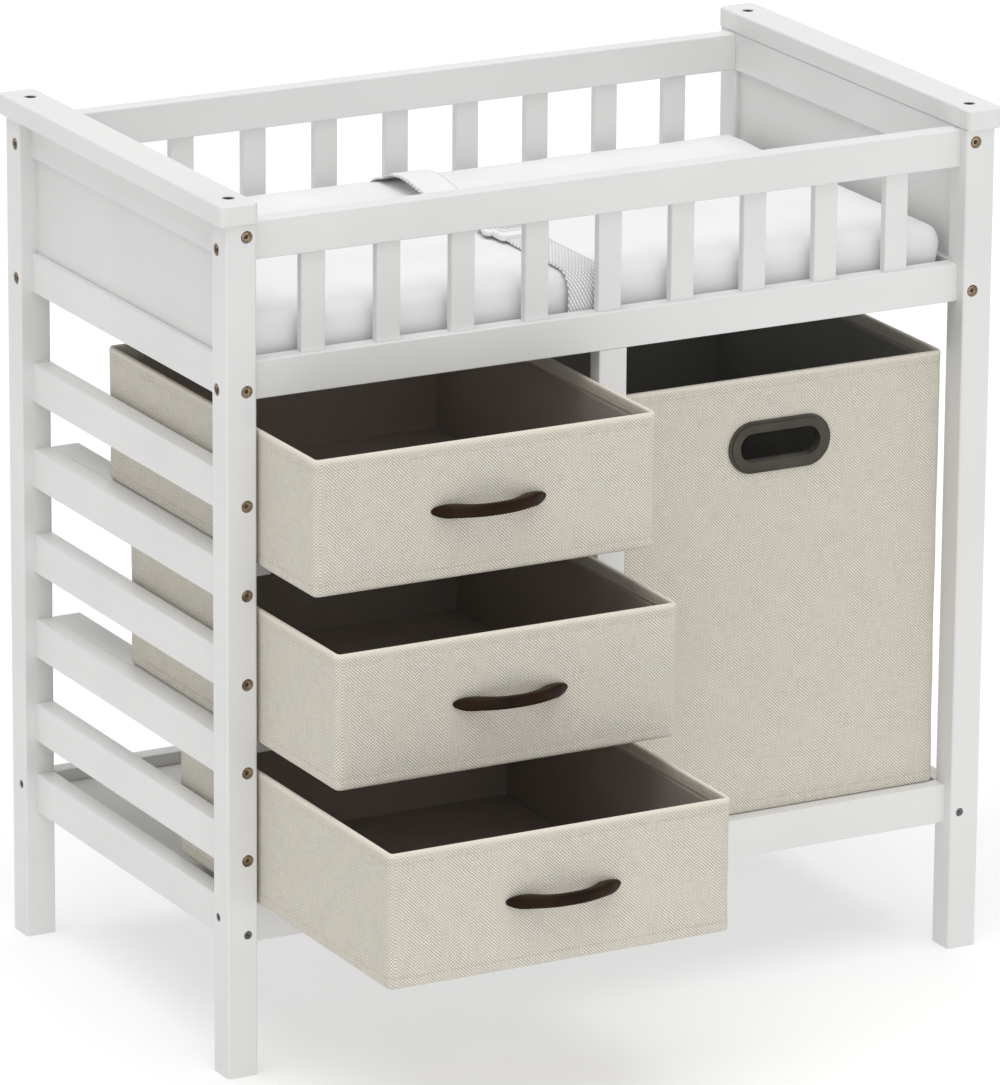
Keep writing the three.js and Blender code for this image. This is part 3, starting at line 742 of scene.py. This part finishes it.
def cut_hand_hole(piece, low_y, centre):
    """Opens a slot-shaped hole in the front wall of a fabric box: the wall is split along
    the slot's outline, side by side, and the faces inside it are dropped."""
    reach, radius = (HOLE_LENGTH - HOLE_HEIGHT) / 2, HOLE_HEIGHT / 2
    outline = []
    for side in (1, -1):
        for k in range(HOLE_STEPS):
            angle = math.radians(180 * (k + 0.5) / HOLE_STEPS - 90) + (side < 0) * math.pi
            outline.append((Vector((math.cos(angle), 0, math.sin(angle))), side * reach))
    outline += [(Vector((0, 0, 1)), 0), (Vector((0, 0, -1)), 0)]
    bm = bmesh.new()
    bm.from_mesh(piece.data)
    def front_faces(grow):
        return [face for face in bm.faces
                if face.calc_center_median().y < low_y + 0.012
                and all(out.dot(face.calc_center_median() - centre) - out.x * shift
                        < radius + grow for out, shift in outline)]
    for grow in (0.02, 0.0):
        for out, shift in outline:
            chosen = front_faces(0.03 if grow else 0.021)
            edges = dict.fromkeys(edge for face in chosen for edge in face.edges)
            verts = dict.fromkeys(vert for face in chosen for vert in face.verts)
            spot = centre + Vector((shift, 0, 0)) + out * (radius + grow)
            bmesh.ops.bisect_plane(bm, geom=[*verts, *edges, *chosen], plane_co=spot,
                                   plane_no=out, dist=1e-7)
    bmesh.ops.delete(bm, geom=front_faces(-0.00001), context="FACES")
    bm.to_mesh(piece.data)
    bm.free()


def apply_modifiers(piece):
    """Makes a piece's modified shape its own mesh."""
    evaluated = piece.evaluated_get(bpy.context.evaluated_depsgraph_get())
    mesh = bpy.data.meshes.new_from_object(evaluated)
    old = piece.data
    piece.modifiers.clear()
    piece.data = mesh
    bpy.data.meshes.remove(old)


def add_handle(level, stations=61, turns=28, pad=0.025, waist=0.93, tip=0.0024, bar=0.0092,
               taper=0.017):
    """A smooth bow: wedge-shaped pads that lie on the cloth at its ends, and a bar between
    them that stands clear for the fingers."""
    node = f"handle_{level}"
    low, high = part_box(node)
    half = (high.x - low.x) / 2
    tall = (high.z - low.z) / 2
    reach = high.y - low.y - 0.0004
    inner_half = half - pad
    centre = Vector(((low.x + high.x) / 2, high.y - 0.0003, (low.z + high.z) / 2))
    verts = []
    for s in range(stations):
        x = half * math.sin(math.pi / 2 * (-1 + 2 * s / (stations - 1)))
        a = abs(x) / half
        outer = tip + (reach - tip) * (1 - a ** 2.3)
        inside = min(1.0, abs(x) / inner_half)
        inner = (reach - bar) * (1 - inside ** 2.6) ** 1.15
        over = min(1.0, max(0.0, abs(x) - (half - taper)) / taper)
        end = math.sqrt(1 - over * over)
        height = tall * (waist + (1 - waist) * min(1.0, (a / 0.75) ** 3)) * max(end, 0.03)
        middle = (outer + inner) / 2
        thick = (outer - inner) / 2 * (0.35 + 0.65 * max(end, 0.03))
        middle += (outer - inner) / 2 - thick if inner > 0 else thick - (outer - inner) / 2
        for k in range(turns):
            angle = 2 * math.pi * (k + 0.5) / turns
            c, n = math.cos(angle), math.sin(angle)
            out = math.copysign(abs(c) ** 0.5, c) * thick
            up = math.copysign(abs(n) ** 0.5, n) * height
            slope = 1 - 0.16 * max(0.0, up / height) * max(0.0, out / thick)
            verts.append(centre + Vector((x, -middle - out * slope, up)))
    faces = ring_faces(stations, turns)
    faces.append(list(range(turns - 1, -1, -1)))
    faces.append([(stations - 1) * turns + k for k in range(turns)])
    mesh = mesh_from(f"bow_{level}", verts, faces)
    piece = new_object(f"bow_{level}", mesh, ESPRESSO, f"{level}_drawer")
    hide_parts(node)


def add_drawers():
    """Three fabric drawers with their bows."""
    for seed, level in enumerate(LEVELS):
        fabric_box(f"drawer_{level}", f"{level}_drawer", LINING, seed + 1, DRAWER_FOOT,
                   DRAWER_SWAY)
        add_handle(level)


def add_hamper():
    """The fabric hamper, with its hand hole opened behind the grommet."""
    cloth = fabric_box("hamper", "laundry_hamper", HAMPER_LINING, 9, HAMPER_FOOT, HAMPER_SWAY)
    low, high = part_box("hamper_grommet")
    centre = (low + high) / 2
    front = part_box("hamper")[0].y
    for piece in (cloth, bpy.data.objects["hamper_lining"]):
        cut_hand_hole(piece, front, centre)
    grommet = NODES["hamper_grommet"]
    grommet.material_slots[0].material = GROMMET
    smooth_cad(grommet, GROMMET_EASE)


# ---------------------------------------------------------------- pad, strap and buckle

def pad_shape(low, high):
    """The pad before softening: sides that lean out up to the seam and pull in a little
    between the corners, and a crowned top panel."""
    width = (high.x - low.x) / MM - 2 * PAD_SHRINK
    depth = (high.y - low.y) / MM - 2 * PAD_SHRINK
    tall = (high.z - low.z) / MM
    loop = rounded_loop(width, depth, PAD_CORNER, 14.0, 6)
    def pulled(point, z):
        along = (min(max(point.x / width, 0.0), 1.0), min(max(point.y / depth, 0.0), 1.0))
        return -PAD_PULL * max(math.sin(math.pi * share) for share in along)
    profile = [(-PAD_UNDER - PAD_FOOT + PAD_FOOT * math.sin(math.pi * k / 12),
                PAD_FOOT - PAD_FOOT * math.cos(math.pi * k / 12)) for k in range(7)]
    rise = tall - PAD_SEAM
    for k in range(9):
        angle = PAD_LEAN + (math.pi / 2 - PAD_LEAN) * k / 8
        across = 1 - math.cos(angle) / math.cos(PAD_LEAN)
        up = (math.sin(angle) - math.sin(PAD_LEAN)) / (1 - math.sin(PAD_LEAN))
        profile.append((-PAD_CROWN * across, PAD_SEAM + rise * up))
    start = low + Vector((PAD_SHRINK, PAD_SHRINK, 0)) * MM
    verts, faces, uvs = lofted_wall(start, loop, profile, pulled)
    flat_floor(verts, faces, uvs, start, loop, -PAD_UNDER - PAD_FOOT, 0.0, up=False)
    flat_floor(verts, faces, uvs, start, loop, -PAD_CROWN, tall)
    return mesh_from("changing_pad_soft", verts, faces)


def add_pad():
    """The foam pad: its shape is remeshed and blown up a little as cloth, then capped and
    seated."""
    low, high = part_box("changing_pad")
    mesh = pad_shape(low, high)
    piece = new_object("changing_pad_soft", mesh, PAD_CLOTH, "pad")
    remesh = piece.modifiers.new("remesh", "REMESH")
    remesh.mode = "VOXEL"
    remesh.voxel_size = PAD_VOXEL
    apply_modifiers(piece)
    puff(piece, pressure=3.0, frames=16, cap=PUFF_CAP)
    dent_and_seat(piece, low, high)
    smooth = piece.modifiers.new("subdivision", "SUBSURF")
    smooth.levels = smooth.render_levels = 1
    shade_smooth(piece.data)
    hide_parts("changing_pad")


def puff(piece, pressure, frames, cap):
    """Runs cloth with inner pressure on a closed mesh and keeps the result, point by point,
    no further than the cap from where it began."""
    start = np.array([v.co for v in piece.data.vertices])
    cloth = piece.modifiers.new("cloth", "CLOTH")
    cloth.settings.use_pressure = True
    cloth.settings.uniform_pressure_force = pressure
    cloth.settings.quality = 5
    cloth.settings.mass = 0.25
    cloth.settings.tension_stiffness = 25
    cloth.settings.compression_stiffness = 25
    cloth.settings.bending_stiffness = 2
    cloth.settings.effector_weights.gravity = 0
    cloth.collision_settings.use_collision = False
    scene = bpy.context.scene
    for number in range(1, frames + 1):
        scene.frame_set(number)
    apply_modifiers(piece)
    scene.frame_set(1)
    moved = np.array([v.co for v in piece.data.vertices])
    step = moved - start
    length = np.linalg.norm(step, axis=1, keepdims=True)
    limited = start + step * np.minimum(1.0, cap / np.maximum(length, 1e-9))
    piece.data.vertices.foreach_set("co", limited.ravel())
    piece.data.update()


def dent_and_seat(piece, low, high):
    """Flattens the underside onto the board, crowns the top, presses it in under the strap
    with a few slow creases, and nips the sides in along the seam."""
    strap_middle = sum(STRAP_X) / 2
    middle = (low + high) / 2
    for vertex in piece.data.vertices:
        co = vertex.co
        share_x = (co.x - low.x) / (high.x - low.x)
        share_y = (co.y - low.y) / (high.y - low.y)
        up = max(0.0, min(1.0, (co.z - low.z) / (high.z - low.z)))
        inside = max(0.0, 16 * share_x * (1 - share_x) * share_y * (1 - share_y))
        crown = CROWN_RISE * min(1.0, inside) ** 0.5
        crease = CREASE * noise.noise(Vector((co.x * 9, co.y * 14, co.z * 9)))
        co.z += up * (crown + crease) - up * SETTLE
        from_strap = max(0.0, abs(co.x - strap_middle) - STRAP_WIDTH / 2)
        press = STRAP_PRESS * math.exp(-((from_strap / 0.012) ** 2))
        co.z -= up * press
        if co.y < low.y + 0.03 or co.y > high.y - 0.03:
            toward = 1 if co.y < low.y + 0.03 else -1
            co.y += toward * press * math.sin(math.pi * min(1, up * 1.2) * 0.8)
        in_x = min(co.x - low.x, high.x - co.x)
        in_y = min(co.y - low.y, high.y - co.y)
        nip = SEAM_NIP * math.exp(-(((co.z - low.z - PAD_SEAM * MM) / 0.004) ** 2))
        if in_x < NIP_BAND:
            co.x -= math.copysign(nip, co.x - middle.x)
        if in_y < NIP_BAND:
            co.y -= math.copysign(nip, co.y - middle.y)
        co.z = min(max(co.z, low.z + 0.0002), high.z + 0.004)
    piece.data.update()


def ribbon(name, path, left, right, thick, material, across=10):
    """A flat strap of real thickness: a path in y and z, swept from left to right in x."""
    smooth_path = catmull(path, 14)
    lengths = [0.0]
    for a, b in zip(smooth_path, smooth_path[1:]):
        lengths.append(lengths[-1] + math.hypot(b[0] - a[0], b[1] - a[1]))
    verts, faces, uvs = [], [], []
    rows = len(smooth_path)
    for side in (0.5, -0.5):
        for index, (y, z) in enumerate(smooth_path):
            before = smooth_path[max(0, index - 1)]
            after = smooth_path[min(rows - 1, index + 1)]
            run = Vector((after[0] - before[0], after[1] - before[1])).normalized()
            for k in range(across + 1):
                share = k / across
                edge = 1 - 0.35 * (abs(2 * share - 1) ** 8)
                lift = side * thick * edge
                verts.append(Vector((left + (right - left) * share, y - run.y * lift,
                                     z + run.x * lift)))
    def index_of(side, row, k):
        return side * rows * (across + 1) + row * (across + 1) + k
    for row in range(rows - 1):
        low, high = lengths[row] / MM, lengths[row + 1] / MM
        for k in range(across):
            a, b = k * (right - left) / across / MM, (k + 1) * (right - left) / across / MM
            top = (index_of(0, row, k), index_of(0, row, k + 1), index_of(0, row + 1, k + 1),
                   index_of(0, row + 1, k))
            under = (index_of(1, row, k + 1), index_of(1, row, k), index_of(1, row + 1, k),
                     index_of(1, row + 1, k + 1))
            faces += [top, under]
            uvs += [(a, low), (b, low), (b, high), (a, high)]
            uvs += [(b, low), (a, low), (a, high), (b, high)]
        for k, flip in ((0, False), (across, True)):
            edge = [index_of(1, row, k), index_of(0, row, k), index_of(0, row + 1, k),
                    index_of(1, row + 1, k)]
            faces.append(edge[::-1] if flip else edge)
            uvs += [(0, low), (1, low), (1, high), (0, high)][::-1 if flip else 1]
    for row, flip in ((0, True), (rows - 1, False)):
        for k in range(across):
            end = [index_of(0, row, k), index_of(0, row, k + 1), index_of(1, row, k + 1),
                   index_of(1, row, k)]
            faces.append(end[::-1] if flip else end)
            uvs += [(0, 0), (1, 0), (1, 1), (0, 1)]
    new_object(name, mesh_from(name, verts, faces, uvs), material, "pad")


def catmull(points, steps):
    """A smooth run of points through the given y,z pairs."""
    padded = [points[0]] + list(points) + [points[-1]]
    result = []
    for index in range(1, len(padded) - 2):
        p0, p1, p2, p3 = (Vector(padded[index + k]) for k in (-1, 0, 1, 2))
        for step in range(steps):
            t = step / steps
            result.append(0.5 * (2 * p1 + (p2 - p0) * t + (2 * p0 - 5 * p1 + 4 * p2 - p3) * t * t
                                 + (3 * p1 - p0 - 3 * p2 + p3) * t ** 3))
    result.append(Vector(points[-1]))
    return result


def add_strap():
    """The safety strap over the pad, in two lengths that meet in the buckle, with a blank
    sewn patch where it arches up at the back."""
    low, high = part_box("changing_pad")
    left, right = STRAP_X
    top = high.z + STRAP_STAND
    front, back = low.y, high.y
    buckle_y = front + BUCKLE_BACK
    front_path = [(front - 0.0009, low.z + 0.004), (front - 0.0012, low.z + 0.02),
                  (front - 0.0008, low.z + 0.034), (front + 0.006, top - 0.006),
                  (front + 0.017, top - 0.0004), (front + 0.05, top + 0.0006),
                  (buckle_y - 0.05, top + 0.001), (buckle_y - 0.024, top + 0.0035)]
    ribbon("strap_front", front_path, left, right, STRAP_THICK, WEBBING)
    back_path = [(buckle_y + 0.024, top + 0.0034), (buckle_y + 0.06, top + 0.0012),
                 (back - 0.17, top + 0.0015), (back - 0.135, top + 0.005),
                 (back - 0.105, top + 0.0105), (back - 0.075, top + 0.0135),
                 (back - 0.047, top + 0.0105), (back - 0.03, top + 0.003),
                 (back - 0.016, top - 0.0005), (back - 0.004, top - 0.008),
                 (back + 0.0008, top - 0.02),
                 (back + 0.0012, low.z + 0.02), (back + 0.0009, low.z + 0.004)]
    ribbon("strap_back", back_path, left, right, STRAP_THICK, WEBBING)
    patch_path = [(y, z + 0.0013) for y, z in back_path[3:7]]
    ribbon("strap_patch", patch_path, left + 0.001, right - 0.001, 0.0006, PATCH)
    add_buckle(Vector(((left + right) / 2, buckle_y, top + 0.0045)))


def bars(name, rows, low_z, high_z, at, material, bevel):
    """Several flat bars as one moulded piece, each given by its x,y corners in millimetres."""
    verts, faces = [], []
    for x0, y0, x1, y1 in rows:
        base = len(verts)
        outline = [(x0, y0), (x1, y0), (x1, y1), (x0, y1)]
        verts += [at + Vector((x * MM, y * MM, z)) for z in (low_z, high_z) for x, y in outline]
        faces += ring_faces(2, 4, base)
        faces += [[base + 3, base + 2, base + 1, base], [base + 4, base + 5, base + 6, base + 7]]
    add_bevel(new_object(name, mesh_from(name, verts, faces), material, "pad"), bevel)


def plate(name, outline, low_z, high_z, at, material, bevel):
    """A flat moulded part from an x,y outline in millimetres, edges rounded."""
    count = len(outline)
    verts = [at + Vector((x * MM, y * MM, z)) for z in (low_z, high_z) for x, y in outline]
    faces = ring_faces(2, count)
    faces += [list(range(count - 1, -1, -1)), list(range(count, 2 * count))]
    add_bevel(new_object(name, mesh_from(name, verts, faces), material, "pad"), bevel, 3)


def mirrored(half):
    """A whole outline from its right half, listed from front to back."""
    return half + [(-x, y) for x, y in reversed(half)]


def add_buckle(at):
    """A plain side-release buckle: a socket half with a ribbed grip in a raised rim, and a
    pronged half whose arms show at the socket's sides."""
    w = STRAP_WIDTH / MM / 2
    socket = mirrored([(w + 1, -31), (w + 5, -27), (w + 5, -10), (w + 3, -6), (w + 3, 8),
                       (w, 11)])
    plate("buckle_socket", socket, -0.0032, 0.0040, at, BUCKLE, 0.0018)
    prongs = mirrored([(w + 2, -8), (w + 8, -8), (w + 11, -3), (w + 11, 3), (w + 6.5, 14),
                       (w + 5.5, 27), (w + 2, 31)])
    plate("buckle_prongs", prongs, -0.0024, 0.0026, at, BUCKLE, 0.0014)
    rim = [(-w, -19, w, -16.6), (-w, 3.6, w, 6), (-w, -16.6, -w + 2.4, 3.6),
           (w - 2.4, -16.6, w, 3.6)]
    bars("buckle_rim", rim, 0.0038, 0.0060, at, BUCKLE, 0.0006)
    # The well's floor takes the darker grey, painted shade between the grip ribs.
    well = [(1 - w, -18), (w - 1, -18), (w - 1, 5), (1 - w, 5)]
    plate("buckle_well", well, 0.0030, 0.0043, at, BUCKLE_WELL_SHADE, 0.0003)
    grip = [(x, -14.5, x + 1.8, 1.5) for x in np.arange(-w + 5.0, w - 5.5, 4.3)]
    bars("buckle_grip", grip, 0.0042, 0.0059, at, BUCKLE, 0.0005)


# ---------------------------------------------------------------- studio

def add_sun(name, direction, strength, spread):
    """Soft light travelling in a direction, as wide across the sky as its spread in degrees."""
    light = bpy.data.lights.new(name, "SUN")
    light.angle = math.radians(spread)
    light.energy = strength
    lamp = bpy.data.objects.new(name, light)
    lamp.rotation_mode = "QUATERNION"
    lamp.rotation_quaternion = Vector(direction).to_track_quat("-Z", "Y")
    bpy.context.scene.collection.objects.link(lamp)


def add_studio(world_light=0.5):
    """A pale floor that glows a little, even light all round, a wide soft light overhead and
    two weaker ones, from the front and from behind."""
    mesh = mesh_from("floor", [(-14, -14, 0), (14, -14, 0), (14, 14, 0), (-14, 14, 0)],
                     [(0, 1, 2, 3)])
    floor = bpy.data.objects.new("floor", mesh)
    bpy.context.scene.collection.objects.link(floor)
    g = Graph("floor_pale")
    mottle = g.noise(g.coords(), 3.0, detail=2)
    tone = g.mix(mottle, (0.60, 0.60, 0.60, 1), (0.62, 0.62, 0.62, 1))
    g.shader.inputs["Emission Color"].default_value = (1, 1, 1, 1)
    mesh.materials.append(g.finish(tone, 0.9, Specular_IOR_Level=0.1, Emission_Strength=0.38))
    world = bpy.context.scene.world or bpy.data.worlds.new("studio")
    bpy.context.scene.world = world
    world.use_nodes = True
    world.node_tree.nodes["Background"].inputs[0].default_value = (1, 1, 1, 1)
    world.node_tree.nodes["Background"].inputs[1].default_value = world_light
    add_sun("overhead", (0.15, 0.12, -1), 1.8, 65)
    add_sun("front_fill", (0.15, 1, -0.3), 0.47, 50)
    add_sun("back_fill", (-0.5, -0.8, -0.4), 0.28, 60)
    bpy.context.scene.view_settings.view_transform = "Standard"


def add_camera():
    """Front left and above, a long way off, as the table is usually pictured."""
    data = bpy.data.cameras.new("camera")
    data.lens = CAMERA_LENS
    data.sensor_width = 36
    camera = bpy.data.objects.new("camera", data)
    camera.location = CAMERA_PLACE
    azimuth, elevation = math.radians(CAMERA_AZIMUTH), math.radians(CAMERA_ELEVATION)
    back = Vector((math.sin(azimuth) * math.cos(elevation),
                   -math.cos(azimuth) * math.cos(elevation), math.sin(elevation)))
    camera.rotation_mode = "QUATERNION"
    level = (-back).to_track_quat("-Z", "Y")
    roll = Matrix.Rotation(math.radians(CAMERA_ROLL), 3, "Z").to_quaternion()
    camera.rotation_quaternion = level @ roll
    bpy.context.scene.collection.objects.link(camera)
    bpy.context.scene.camera = camera


add_camera()
finish_cad_boards()
add_bolts()
add_drawers()
add_hamper()
add_pad()
add_strap()
add_studio()
